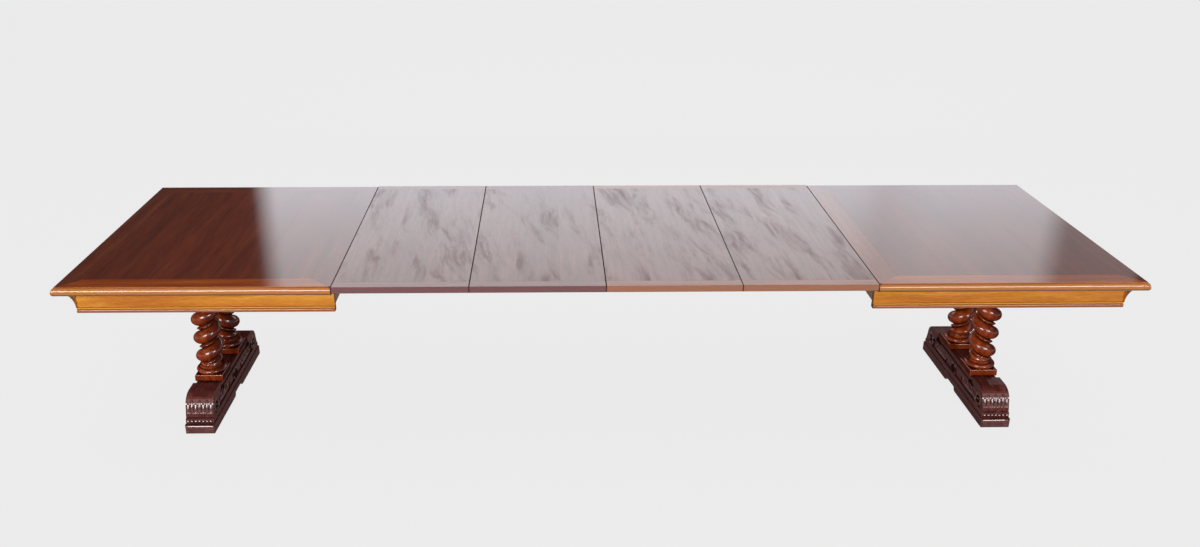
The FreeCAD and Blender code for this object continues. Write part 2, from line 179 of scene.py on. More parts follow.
@dataclass(frozen=True)
class WoodFinish:
    """One wood as it was cut, stained and polished.

    Widths are real millimetres. The fibre lines are drawn a little coarser
    than true walnut pores so that they still show from across a room. Flagged
    woods lie level and are kept from mirroring the lamps.
    """

    name: str
    deep: str
    body: str
    light: str
    grain: Grain = Grain.ALONG
    figure: Figure = Figure.PLAIN
    cloud: str = "#000000"
    cloud_mm: Pair = (82.0, 27.0)
    cloud_run: float = 6.5
    cloud_turn: float = math.radians(9)
    fibre_mm: float = 2.2
    streak_mm: float = 26.0
    run: float = 0.06
    board_mm: float = 0.0
    board_start_mm: float = 0.0
    board_change: float = 0.2
    joint_mm: float = 0.0
    joint_pitch_mm: float = 518.4
    joint_start_mm: float = 1037.0
    roughness: float = 0.36
    coat: float = 1.0
    coat_roughness: float = 0.08
    coat_ior: float = 1.5
    level_film: float = 1.0
    specular: float = 0.35
    spread: float = 0.14
    # Colour of faces turned from level; paler on the top bands, partly wear and partly painted
    # highlight. Faces turned down get painted shade.
    rim: str = ""
    # Redder wood below a height, with a painted highlight along that line.
    low: str = ""
    low_mm: float = 0.0
    # Painted shade in hollows and creases, by how closed in they are.
    hollow_shade: float = 0.0
    hollow_shade_mm: float = 14.0
    # Paler convex edges: partly rubbed wear, partly painted highlight.
    wear_and_highlight: float = 0.0
    wear_and_highlight_mm: float = 2.5
    end_grain: float = 0.75
    # Painted shade on flat faces that look along the table.
    flank: float = 0.0
    # Painted shade on faces turned right, none on faces turned left.
    right_side_shade: float = 0.0
    pore_depth_mm: float = 0.12
    flagged: bool = False

    @cache
    def material(self) -> Material:
        """Builds the finish once, as a node material on object coordinates.

        Returns:
            The material.
        """
        made, tree = blank_material(f"{self.name} {self.grain.name.lower()}")
        place = add_node(tree, "TexCoord")["Object"]
        board = self._board(tree, place)
        grain = self._grain_space(tree, place, board)
        streak = add_node(tree, "TexNoise", {
            "Vector": grain, "Scale": 1 / (self.streak_mm * MM), "Detail": 3.0,
            "Roughness": 0.55, "Distortion": 0.4})["Fac"]
        fibre = add_node(tree, "TexNoise", {
            "Vector": grain, "Scale": 1 / (self.fibre_mm * MM), "Detail": 4.0,
            "Roughness": 0.62})["Fac"]
        fine = add_node(tree, "Math", {0: fibre, 1: 0.42}, operation="MULTIPLY")
        tone = add_node(tree, "Math", {0: streak, 1: 0.58, 2: fine[0]},
                        operation="MULTIPLY_ADD")[0]
        colour = add_node(tree, "ValToRGB", {"Fac": tone})["Color"]
        set_ramp(colour, ((0.5 - self.spread, self.deep), (0.5, self.body),
                          (0.5 + self.spread, self.light)))
        if board is not None:
            pick = add_node(tree, "SeparateXYZ", {0: board})["X"]
            value = add_node(tree, "MapRange", {
                "Value": pick, "To Min": 1 - self.board_change,
                "To Max": 1 + self.board_change})["Result"]
            colour = add_node(tree, "HueSaturation", {
                "Color": colour, "Value": value})["Color"]
        clouds = self._clouds(tree, place, board)
        gap = self._joints(tree, place)
        facing = add_node(tree, "NewGeometry")
        for colour_layer in self._stains_and_painted_light(tree, place, facing, clouds, gap):
            colour = add_node(tree, "Mix", {
                "Factor": colour_layer.amount(tree), 6: colour, 7: linear(colour_layer.colour)},
                data_type="RGBA")[2]
        rough = add_node(tree, "MapRange", {
            "Value": tone, "From Min": 0.3, "From Max": 0.7,
            "To Min": self.roughness + 0.07, "To Max": self.roughness - 0.05})
        bump = add_node(tree, "Bump", {
            "Height": fibre, "Strength": 0.35, "Distance": self.pore_depth_mm * MM})
        shader = add_node(tree, "BsdfPrincipled", {
            "Base Color": colour, "Roughness": rough["Result"],
            "Normal": bump["Normal"], "IOR": 1.5,
            "Specular IOR Level": self.specular,
            "Coat Weight": self._film(tree, facing, clouds, gap),
            "Coat Roughness": self.coat_roughness, "Coat IOR": self.coat_ior})
        add_node(tree, "OutputMaterial", {"Surface": shader["BSDF"]})
        return made

    def _film(self, tree: NodeTree, facing: NodeOutputs, clouds: NodeSocket | None,
              gap: NodeSocket | None) -> float | NodeSocket:
        """Gives the polish its weight: thin on clouds, joints, sides and trodden tops.

        Args:
            tree: material's node tree.
            facing: normals of the surface.
            clouds: how clouded the wood is.
            gap: how near a joint lies.

        Returns:
            The weight, or the socket that gives it.
        """
        layers = []
        if gap is not None:
            layers.append(Layer(gap, share=(1.0, 0.0)))
        if clouds is not None:
            layers.append(Layer(clouds, share=(1.0, 0.62)))
        if self.level_film < 1:
            upward = add_node(tree, "SeparateXYZ", {0: facing["Normal"]})["Z"]
            turned = add_node(tree, "LayerWeight", {"Blend": 0.5})["Facing"]
            layers += [Layer(upward, span=(0.04, 0.24), share=(self.level_film, 1.0)),
                       Layer(turned, span=(0.35, 0.62), share=(1.0, 0.2)),
                       Layer(upward, span=(0.7, 0.92), share=(1.0, 0.3))]
        weight = self.coat
        for layer in layers:
            weight = add_node(tree, "Math", {0: layer.amount(tree), 1: weight},
                              operation="MULTIPLY")[0]
        return weight

    def _board(self, tree: NodeTree, place: NodeSocket) -> NodeSocket | None:
        """Draws one random colour for each glued board along the table.

        Args:
            tree: material's node tree.
            place: object coordinates.

        Returns:
            Colour that is constant over a board, or nothing for a single board.
        """
        if not self.board_mm:
            return None
        along = add_node(tree, "SeparateXYZ", {0: place})["X"]
        step = add_node(tree, "Math", {
            0: along, 1: 1 / (self.board_mm * MM),
            2: self.board_start_mm / self.board_mm}, operation="MULTIPLY_ADD")
        number = add_node(tree, "Math", {0: step[0]}, operation="FLOOR")
        return add_node(tree, "TexWhiteNoise", {"W": number[0]},
                        noise_dimensions="1D")["Color"]

    def _grain_space(self, tree: NodeTree, place: NodeSocket,
                     board: NodeSocket | None) -> NodeSocket:
        """Bends space a little and squeezes it along the fibres.

        Args:
            tree: material's node tree.
            place: object coordinates.
            board: random colour of the board, which shifts its grain.

        Returns:
            Coordinates in which a round noise makes long fibres.
        """
        wander = add_node(tree, "TexNoise", {
            "Vector": place, "Scale": 3.2, "Detail": 1.0})["Color"]
        bent = add_node(tree, "VectorMath", {
            0: wander, 1: (0.03, 0.03, 0.03), 2: place},
            operation="MULTIPLY_ADD")["Vector"]
        if board is not None:
            bent = add_node(tree, "VectorMath", {
                0: board, 1: (3.0, 3.0, 3.0), 2: bent},
                operation="MULTIPLY_ADD")["Vector"]
        stretch = [1.0, 1.0, 1.0]
        stretch[self.grain.value] = self.run
        return add_node(tree, "Mapping", {
            "Vector": bent, "Scale": stretch})["Vector"]

    def _clouds(self, tree: NodeTree, place: NodeSocket,
                board: NodeSocket | None) -> NodeSocket | None:
        """Draws soft clouds of figure along plain-sawn boards.

        Args:
            tree: material's node tree.
            place: object coordinates.
            board: random colour of the board, which shifts its clouds.

        Returns:
            How clouded the wood is, or nothing for plain figure.
        """
        if self.figure is Figure.PLAIN:
            return None
        moved = place
        if board is not None:
            moved = add_node(tree, "VectorMath", {
                0: board, 1: (2.0, 2.0, 2.0), 2: place},
                operation="MULTIPLY_ADD")["Vector"]
        swirl = add_node(tree, "TexNoise", {
            "Vector": moved, "Scale": 2.6, "Detail": 1.0})["Color"]
        moved = add_node(tree, "VectorMath", {
            0: swirl, 1: (0.12, 0.3, 0.0), 2: moved},
            operation="MULTIPLY_ADD")["Vector"]
        turned = add_node(tree, "Mapping", {
            "Vector": moved, "Rotation": (0.0, 0.0, self.cloud_turn),
            "Scale": (1.0, self.cloud_run, 1.0)}, vector_type="TEXTURE")["Vector"]
        wide = add_node(tree, "TexNoise", {
            "Vector": turned, "Scale": 1 / (self.cloud_mm[0] * MM), "Detail": 2.0})
        close = add_node(tree, "TexNoise", {
            "Vector": turned, "Scale": 1 / (self.cloud_mm[1] * MM), "Detail": 6.0,
            "Roughness": 0.68, "Distortion": 0.3})
        both = add_node(tree, "Math", {
            0: wide["Fac"], 1: close["Fac"]}, operation="MULTIPLY")
        return add_node(tree, "MapRange", {
            "Value": both[0], "From Min": 0.215, "From Max": 0.48},
            interpolation_type="SMOOTHSTEP")["Result"]

    def _joints(self, tree: NodeTree, place: NodeSocket) -> NodeSocket | None:
        """Finds the eased arrises where leaves and ends meet, dark and bare of polish.

        Args:
            tree: material's node tree.
            place: object coordinates.

        Returns:
            How near a joint lies, or nothing for a piece away from the joints.
        """
        if not self.joint_mm:
            return None
        along = add_node(tree, "SeparateXYZ", {0: place})["X"]
        start = add_node(tree, "Math", {
            0: along, 1: self.joint_start_mm * MM}, operation="ADD")
        off = add_node(tree, "Math", {
            0: start[0], 1: self.joint_pitch_mm * MM / 2}, operation="PINGPONG")
        return add_node(tree, "MapRange", {
            "Value": off[0], "From Min": self.joint_mm * MM / 3,
            "From Max": self.joint_mm * MM, "To Min": 0.9, "To Max": 0.0},
            interpolation_type="SMOOTHSTEP")["Result"]

    def _stains_and_painted_light(self, tree: NodeTree, place: NodeSocket, facing: NodeOutputs,
                clouds: NodeSocket | None, gap: NodeSocket | None) -> list[Layer]:
        """Lists what colours the grain: figure, rims, joints, sawn ends, painted shade and
        highlight.

        Args:
            tree: material's node tree.
            place: object coordinates.
            facing: normals of the surface.
            clouds: how clouded the wood is.
            gap: how near a joint lies.

        Returns:
            The stains in the order in which they are laid.
        """
        smooth = add_node(tree, "SeparateXYZ", {0: facing["Normal"]})
        flat = add_node(tree, "SeparateXYZ", {0: facing["True Normal"]})
        height = add_node(tree, "SeparateXYZ", {0: place})["Z"]
        colour_layers = []
        if clouds is not None:
            colour_layers.append(Layer(clouds, self.cloud))
        # Upright faces of a rim take its colour, partly rubbed wear and partly painted
        # highlight; faces turned down get painted shade.
        if self.rim:
            colour_layers += [Layer(smooth["Z"], self.rim, (0.6, 0.98), (0.8, 0.0)),
                       Layer(smooth["Z"], UNDER_RIM_SHADE, (-0.55, -0.1), (0.85, 0.0))]
        # A redder bead below the low line, with a painted highlight along its fillet.
        if self.low:
            fade = ((self.low_mm - 2) * MM, self.low_mm * MM)
            line = add_node(tree, "Math", {
                0: height, 1: (self.low_mm - 1) * MM, 2: 2.4 * MM}, operation="COMPARE")
            colour_layers += [Layer(height, self.low, fade, (0.8, 0.0)),
                       Layer(line[0], self.light)]
        if gap is not None:
            colour_layers.append(Layer(gap, JOINT_WAX))
        end = add_node(tree, "Math", {0: flat[self.grain.value]}, operation="ABSOLUTE")
        colour_layers.append(Layer(end[0], SAWN_END, (0.88, 0.97), (0.0, self.end_grain)))
        # Painted shade on flat faces that look along the table.
        if self.flank:
            side = add_node(tree, "Math", {0: flat["X"]}, operation="ABSOLUTE")
            colour_layers.append(Layer(side[0], FLANK_SHADE, (0.94, 0.99), (0.0, self.flank)))
        # Painted shade on faces turned right, none on faces turned left.
        if self.right_side_shade:
            colour_layers.append(Layer(smooth["X"], RIGHT_SIDE_SHADE, (-0.4, 0.6), (0.0, self.right_side_shade)))
        # Painted shade in hollows and creases, where ambient occlusion is high.
        if self.hollow_shade:
            clear = add_node(tree, "AmbientOcclusion", {
                "Distance": self.hollow_shade_mm * MM}, samples=6)["AO"]
            colour_layers.append(Layer(clear, HOLLOW_SHADE, (0.25, 0.8), (self.hollow_shade, 0.0)))
        # Convex edges paler: partly rubbed wear, partly painted highlight.
        if self.wear_and_highlight:
            inner = add_node(tree, "AmbientOcclusion", {
                "Distance": self.wear_and_highlight_mm * MM}, samples=4, inside=True)["AO"]
            edge = Layer(inner, span=(0.5, 0.95), share=(self.wear_and_highlight, 0.0)).amount(tree)
            patch = add_node(tree, "TexNoise", {
                "Vector": place, "Scale": 24.0, "Detail": 3.0})["Fac"]
            wear_and_highlight_mask = add_node(tree, "Math", {0: edge, 1: patch}, operation="MULTIPLY")
            colour_layers.append(Layer(wear_and_highlight_mask[0], self.light))
        return colour_layers


# Shellac over walnut: deep red-brown boards under a clear, mirror-like film.
FIELD = WoodFinish("French-polished walnut field", "#42180e", "#5e2616", "#70321a",
                   grain=Grain.ACROSS, board_mm=216.0, board_start_mm=17.0, board_change=0.14,
                   fibre_mm=10.0, streak_mm=60.0, spread=0.2, coat_roughness=0.085, specular=0.0,
                   flagged=True)
# The front band was cut from paler, more golden wood; its rim is painted paler still,
# partly as rubbed wear and partly as a painted highlight.
FRONT_BORDER = WoodFinish("French-polished golden walnut band", "#72300a", "#8e3e10",
                          "#a8561c", rim="#b87632", streak_mm=30.0, spread=0.18,
                          coat_roughness=0.09, specular=0.0, joint_mm=3.0,
                          joint_pitch_mm=2074.0)
# The other bands nearly match the field.
BORDER = replace(FRONT_BORDER, name="French-polished walnut band", deep="#4a1c10",
                 body="#602a18", light="#763a22", rim="#8a4e2c", flagged=True)
# One inner band lies between the two.
INNER_BORDER = replace(BORDER, name="French-polished tawny walnut band", deep="#5e2a12",
                       body="#743618", light="#8a4822")
# The leaves have seen less polish: greyed boards with a soft, clouded figure.
LEAF_BOARD = WoodFinish("satin-polished walnut leaf", "#62463e", "#74524a", "#845e54",
                        grain=Grain.ACROSS, figure=Figure.CLOUDED, cloud="#58241e",
                        board_mm=172.8, board_start_mm=1037.0, board_change=0.08,
                        fibre_mm=2.6, streak_mm=24.0, spread=0.18, roughness=0.5, coat=1.0,
                        coat_roughness=0.18, specular=0.0, joint_mm=3.0, flagged=True)
# Their cross bands are a dull red on two leaves and tan on the other two.
LEAF_BAND_RED = WoodFinish("satin-polished red walnut leaf band", "#725250", "#86625e",
                           "#98706a", rim="#6a3c40", board_mm=518.4, board_start_mm=1037.0,
                           board_change=0.08, spread=0.18, roughness=0.5, coat=0.95,
                           coat_roughness=0.2, specular=0.0, joint_mm=3.0, flagged=True)
LEAF_BAND_TAN = replace(LEAF_BAND_RED, name="satin-polished tan walnut leaf band",
                        deep="#784c3e", body="#8a5a46", light="#9c6a52", rim="#9c6448")
# Golden figured walnut, glossy, over a redder bead; painted shade darkens the quirks,
# a painted highlight runs along the fillet, and paler edges are part wear, part highlight.
APRON = WoodFinish("polished golden walnut", "#b05e10", "#cc7e1c", "#e09a34",
                   streak_mm=34.0, spread=0.15, roughness=0.36, coat=1.0, level_film=0.7,
                   coat_roughness=0.12, specular=0.0, low="#8c4422", low_mm=668.0, hollow_shade=0.6,
                   hollow_shade_mm=9.0, wear_and_highlight=0.3)
# Twist columns: orange-red polish; painted shade turns their right sides and flat flanks
# deep red and their grooves near black.
COLUMN = WoodFinish("polished red walnut", "#5a1a0a", "#963a16", "#c05c2a",
                    grain=Grain.UPRIGHT, streak_mm=24.0, spread=0.2, roughness=0.34,
                    coat=1.0, level_film=0.12, coat_roughness=0.17, coat_ior=1.7, specular=0.0,
                    hollow_shade=0.95, hollow_shade_mm=22.0, wear_and_highlight=0.2, end_grain=0.3, flank=0.7,
                    right_side_shade=0.8)
# Feet: stained nearly black-red, their carving polished until it glints; painted shade
# in the hollows, and paler edges that are part wear, part painted highlight.
FOOT = WoodFinish("dark-stained carved walnut", "#3c1614", "#5c2a26", "#7e4c46",
                  grain=Grain.ACROSS, streak_mm=22.0, spread=0.2, roughness=0.38, coat=1.0,
                  level_film=0.5, coat_roughness=0.07, coat_ior=1.65, specular=0.0,
                  hollow_shade=0.85, hollow_shade_mm=14.0, wear_and_highlight=0.7, end_grain=0.0)
# Nearly black pieces laid on the carving as painted shade of sunk hollows: the scroll's
# disc, eye, slit and rosette.
CARVING_SHADE = replace(FOOT, name="carved ground in painted shade", deep="#180a0a", body="#22100f",
                   light="#321a18", coat=0.15, coat_roughness=0.4, wear_and_highlight=0.0)
# Inner framing, never polished: oiled oak, waxed beech and bare pine, with painted shade
# in their hollows.
FRAME_OAK = WoodFinish("oiled oak", "#4e3420", "#74502f", "#90693f", roughness=0.6,
                       coat=0.0, specular=0.4, hollow_shade=0.5)
SLIDE_BEECH = WoodFinish("waxed beech", "#8a623c", "#aa7e50", "#c09666", fibre_mm=1.6,
                         streak_mm=18.0, roughness=0.5, coat=0.2, coat_roughness=0.35,
                         hollow_shade=0.4)
BLOCK_PINE = WoodFinish("bare pine", "#8c683f", "#ab8656", "#c4a374", streak_mm=14.0,
                        roughness=0.7, coat=0.0, specular=0.3, hollow_shade=0.4)
PEG_BEECH = WoodFinish("beech dowel", "#7c5632", "#9c7044", "#b38a5c", grain=Grain.ACROSS,
                       fibre_mm=1.2, streak_mm=6.0, roughness=0.5, coat=0.1)

FINISH_OF_SLOT = {
    "field_wood": FIELD, "border_wood": BORDER, "leaf_board_wood": LEAF_BOARD,
    "leaf_band_wood": LEAF_BAND_RED, "apron_wood": APRON, "column_wood": COLUMN,
    "foot_wood": FOOT, "frame_wood": FRAME_OAK, "slide_wood": SLIDE_BEECH,
    "block_wood": BLOCK_PINE, "peg_wood": PEG_BEECH,
}
# The lamps glint on what is held here: all but the flagged woods of the level tops.
GLINTS = bpy.data.collections.new("glints")


def clear_selection() -> None:
    """Leaves edit mode and deselects every object."""
    if bpy.context.object and bpy.context.object.mode != "OBJECT":
        bpy.ops.object.mode_set(mode="OBJECT")
    bpy.ops.object.select_all(action="DESELECT")


def pick_only(piece: Object) -> None:
    """Leaves one object selected and active.

    Args:
        piece: the object.
    """
    clear_selection()
    piece.select_set(True)
    bpy.context.view_layer.objects.active = piece


def open_mesh() -> None:
    """Opens the active object in edit mode with its whole mesh selected."""
    bpy.ops.object.mode_set(mode="EDIT")
    bpy.ops.mesh.select_all(action="SELECT")


def settle(piece: Object) -> None:
    """Puts an object's place, turn and scale into its mesh."""
    pick_only(piece)
    bpy.ops.object.transform_apply(location=True, rotation=True, scale=True)


def join_all(pieces: list[Object], name: str) -> Object:
    """Joins carved parts to one piece.

    Args:
        pieces: settled mesh objects.
        name: name of the joined piece.

    Returns:
        The joined piece.
    """
    pick_only(pieces[0])
    for piece in pieces:
        piece.select_set(True)
    bpy.ops.object.join()
    pieces[0].name = name
    return pieces[0]


def copy_moved(piece: Object, name: str, move: Matrix) -> Object:
    """Copies a piece with a mesh of its own at another place.

    Args:
        piece: settled mesh object.
        name: name of the copy.
        move: matrix from the piece's place to the copy's, a mirror allowed.

    Returns:
        The copy.
    """
    made = piece.copy()
    made.data = piece.data.copy()
    made.name = name
    bpy.context.scene.collection.objects.link(made)
    made.data.transform(move)
    if move.determinant() < 0:
        made.data.flip_normals()
    return made


def polish(piece: Object, wood: WoodFinish) -> None:
    """Gives a piece its soft shading, its wood and the lamps' glints.

    Args:
        piece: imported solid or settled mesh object.
        wood: its finish; a flagged one gets no glints.
    """
    pick_only(piece)
    bpy.ops.object.shade_smooth_by_angle(angle=SMOOTH_ANGLE)
    piece.data.materials.clear()
    piece.data.materials.append(wood.material())
    if not wood.flagged:
        GLINTS.objects.link(piece)


def dress_node(node: str, grain: Grain | None = None,
               finish: WoodFinish | None = None) -> None:
    """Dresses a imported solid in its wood.

    Args:
        node: name of the solid.
        grain: direction of its fibres, where the finish's own doesn't fit.
        finish: its wood, where it differs from the slot's usual one.
    """
    wood = finish or FINISH_OF_SLOT[SLOT_OF[node]]
    polish(frame["nodes"][node], replace(wood, grain=grain or wood.grain))
    LOG.info("dressed %s", node)


@dataclass
class EndTop:
    """Boarded field and mitred borders of one end."""

    side: str
    inner: WoodFinish

    def dress(self) -> None:
        """Polishes the field, and each border with its grain along the band."""
        dress_node(f"{self.side}_top_field")
        for band, grain, finish in (("front", Grain.ALONG, FRONT_BORDER),
                                    ("back", Grain.ALONG, BORDER),
                                    ("outer", Grain.ACROSS, BORDER),
                                    ("inner", Grain.ACROSS, self.inner)):
            dress_node(f"{self.side}_top_border_{band}", grain, finish)


@dataclass
class ApronFrame:
    """Moulded aprons, cross rail and glue blocks of one end."""

    side: str

    def dress(self) -> None:
        """Polishes the aprons and oils the inner framing."""
        for node, grain in (("apron_front", Grain.ALONG), ("apron_back", Grain.ALONG),
                            ("apron_outer", Grain.ACROSS), ("rail_inner", Grain.ACROSS),
                            ("corner_blocks", Grain.UPRIGHT)):
            dress_node(f"{self.side}_{node}", grain)


@dataclass
class ToeCarving:
    """Gadrooned leaf on a toe's shoulder and the bead row under it.

    Lengths are in metres. The toe faces the front; Y is measured outwards from
    the foot's middle. Sizes are depth and height.
    """

    half_width: float = 55.5 * MM
    neck: float = 364 * MM
    neck_z: float = 70 * MM
    end: float = 353 * MM
    shoulder_z: float = 104 * MM
    crown: float = 286 * MM
    crown_z: float = 158 * MM
    low_z: float = 78 * MM
    high_turn: float = math.radians(50)
    lobes: int = 7
    tall: Triple = (111 * MM, 126 * MM, 138 * MM)
    short: Triple = (105 * MM, 117 * MM, 128 * MM)
    crest: float = 359.5 * MM
    low_lean: float = math.radians(10)
    face_lean: float = math.radians(24)
    collar_z: float = 85.5 * MM
    collar_half: float = 4 * MM
    collar_height: float = 5.0 * MM
    rim: float = 2 * MM
    sink: float = 1.2 * MM
    back: float = 5 * MM
    columns: int = 126
    rows: int = 72
    beads: int = 7
    ease_steps: int = 4
    bead_fill: float = 0.8
    bead_size: Pair = (9 * MM, 11 * MM)
    bead_ease: float = 3.4 * MM
    bead_z: float = 53.5 * MM
    bead_y: float = 373.5 * MM
    arris_reach: float = 5 * MM
    arris_size: Pair = (4 * MM, 7.4 * MM)
    arris_ease: float = 1.1 * MM
    arris_z: float = 35.2 * MM
    arris_y: float = 386.6 * MM

    def skin(self, share: float) -> tuple[Vector, Vector]:
        """Gives a point of the toe's profile and the way out of it there.

        Args:
            share: way up the carving, from 0 at its foot to 1 at its top.

        Returns:
            Point and outward normal, as distance outwards and height.
        """
        straight = self.shoulder_z - self.low_z
        depth = self.end - self.crown
        rise = self.crown_z - self.shoulder_z
        curved = self.high_turn * (depth + rise) / 2
        walked = share * (straight + curved)
        if walked < straight:
            lean = (self.neck - self.end) / (self.shoulder_z - self.neck_z)
            place = Vector((self.end + (straight - walked) * lean, self.low_z + walked))
            return place, Vector((1.0, lean)).normalized()
        turn = (walked - straight) / curved * self.high_turn
        place = Vector((self.crown + depth * math.cos(turn),
                        self.shoulder_z + rise * math.sin(turn)))
        out = Vector((math.cos(turn) / depth, math.sin(turn) / rise)).normalized()
        return place, out

    def relief(self, across: float, place: Vector) -> float:
        """Gives how far the carving stands out in front of the toe.

        Args:
            across: distance from the toe's middle.
            place: point of the toe's profile, as distance outwards and height.

        Returns:
            Distance in metres, nothing where the toe shows.
        """
        pitch = 2 * self.half_width / self.lobes
        number = max(-(self.lobes // 2), min(self.lobes // 2, round(across / pitch)))
        aside = across / pitch - number
        bend, turn, tip = self.tall if number % 2 == 0 else self.short
        lean = math.tan(self.low_lean if place.y < bend else self.face_lean)
        crest = self.crest + (bend - place.y) * lean - place.x
        swell = 1 - (aside / 0.5) ** 2 - max(0.0, (place.y - turn) / (tip - turn)) ** 2
        lobe = 0.0
        if place.y > self.collar_z and swell > 0:
            lobe = crest * swell ** 0.5
        ring = 1 - ((place.y - self.collar_z) / self.collar_half) ** 2
        return max(lobe, self.collar_height * max(0.0, ring) ** 0.5)

    def leaf(self) -> Object:
        """Carves the gadrooned leaf as a closed relief over the toe.

        Returns:
            The settled piece, for a foot on the table's middle line.
        """
        clear_selection()
        bpy.ops.mesh.primitive_grid_add(x_subdivisions=self.columns, y_subdivisions=self.rows,
                                        size=1.0)
        piece = bpy.context.object
        for vertex in piece.data.vertices:
            across = vertex.co.x * 2 * self.half_width
            place, out = self.skin(vertex.co.y + 0.5)
            fade = min(self.half_width - abs(across), self.rim) / self.rim
            stand = self.relief(across, place) * fade
            place = place - out * self.sink
            vertex.co = (across, -place.x - stand, place.y)
        wall = piece.modifiers.new("wall", "SOLIDIFY")
        wall.thickness = self.back
        wall.offset = -1.0
        bpy.ops.object.modifier_apply(modifier=wall.name)
        open_mesh()
        bpy.ops.mesh.normals_make_consistent(inside=False)
        clear_selection()
        return piece

    def bead_row(self) -> Object:
        """Carves one bead, repeats it across the toe and eases the arris under it.

        Returns:
            The settled row, for a foot on the table's middle line.
        """
        pitch = 2 * self.half_width / self.beads
        bead = self._cushion((self.bead_fill * pitch, *self.bead_size), self.bead_ease)
        row = []
        for number in range(self.beads):
            across = (number - (self.beads - 1) / 2) * pitch
            move = Matrix.Translation((across, -self.bead_y, self.bead_z))
            row.append(copy_moved(bead, f"bead_{number}", move))
        bpy.data.objects.remove(bead)
        width = 2 * self.half_width + self.arris_reach
        arris = self._cushion((width, *self.arris_size), self.arris_ease)
        arris.data.transform(Matrix.Translation((0, -self.arris_y, self.arris_z)))
        return join_all([*row, arris], "bead_row")

    def _cushion(self, size: Triple, ease: float) -> Object:
        """Carves a soft-edged cushion that leans back as the lobes do.

        Args:
            size: width, depth and height.
            ease: how far its edges are rounded.

        Returns:
            The settled cushion at the origin.
        """
        clear_selection()
        bpy.ops.mesh.primitive_cube_add(size=1.0, rotation=(-self.face_lean, 0, 0), scale=size)
        piece = bpy.context.object
        settle(piece)
        open_mesh()
        bpy.ops.mesh.bevel(offset=ease, segments=self.ease_steps, affect="EDGES")
        clear_selection()
        return piece


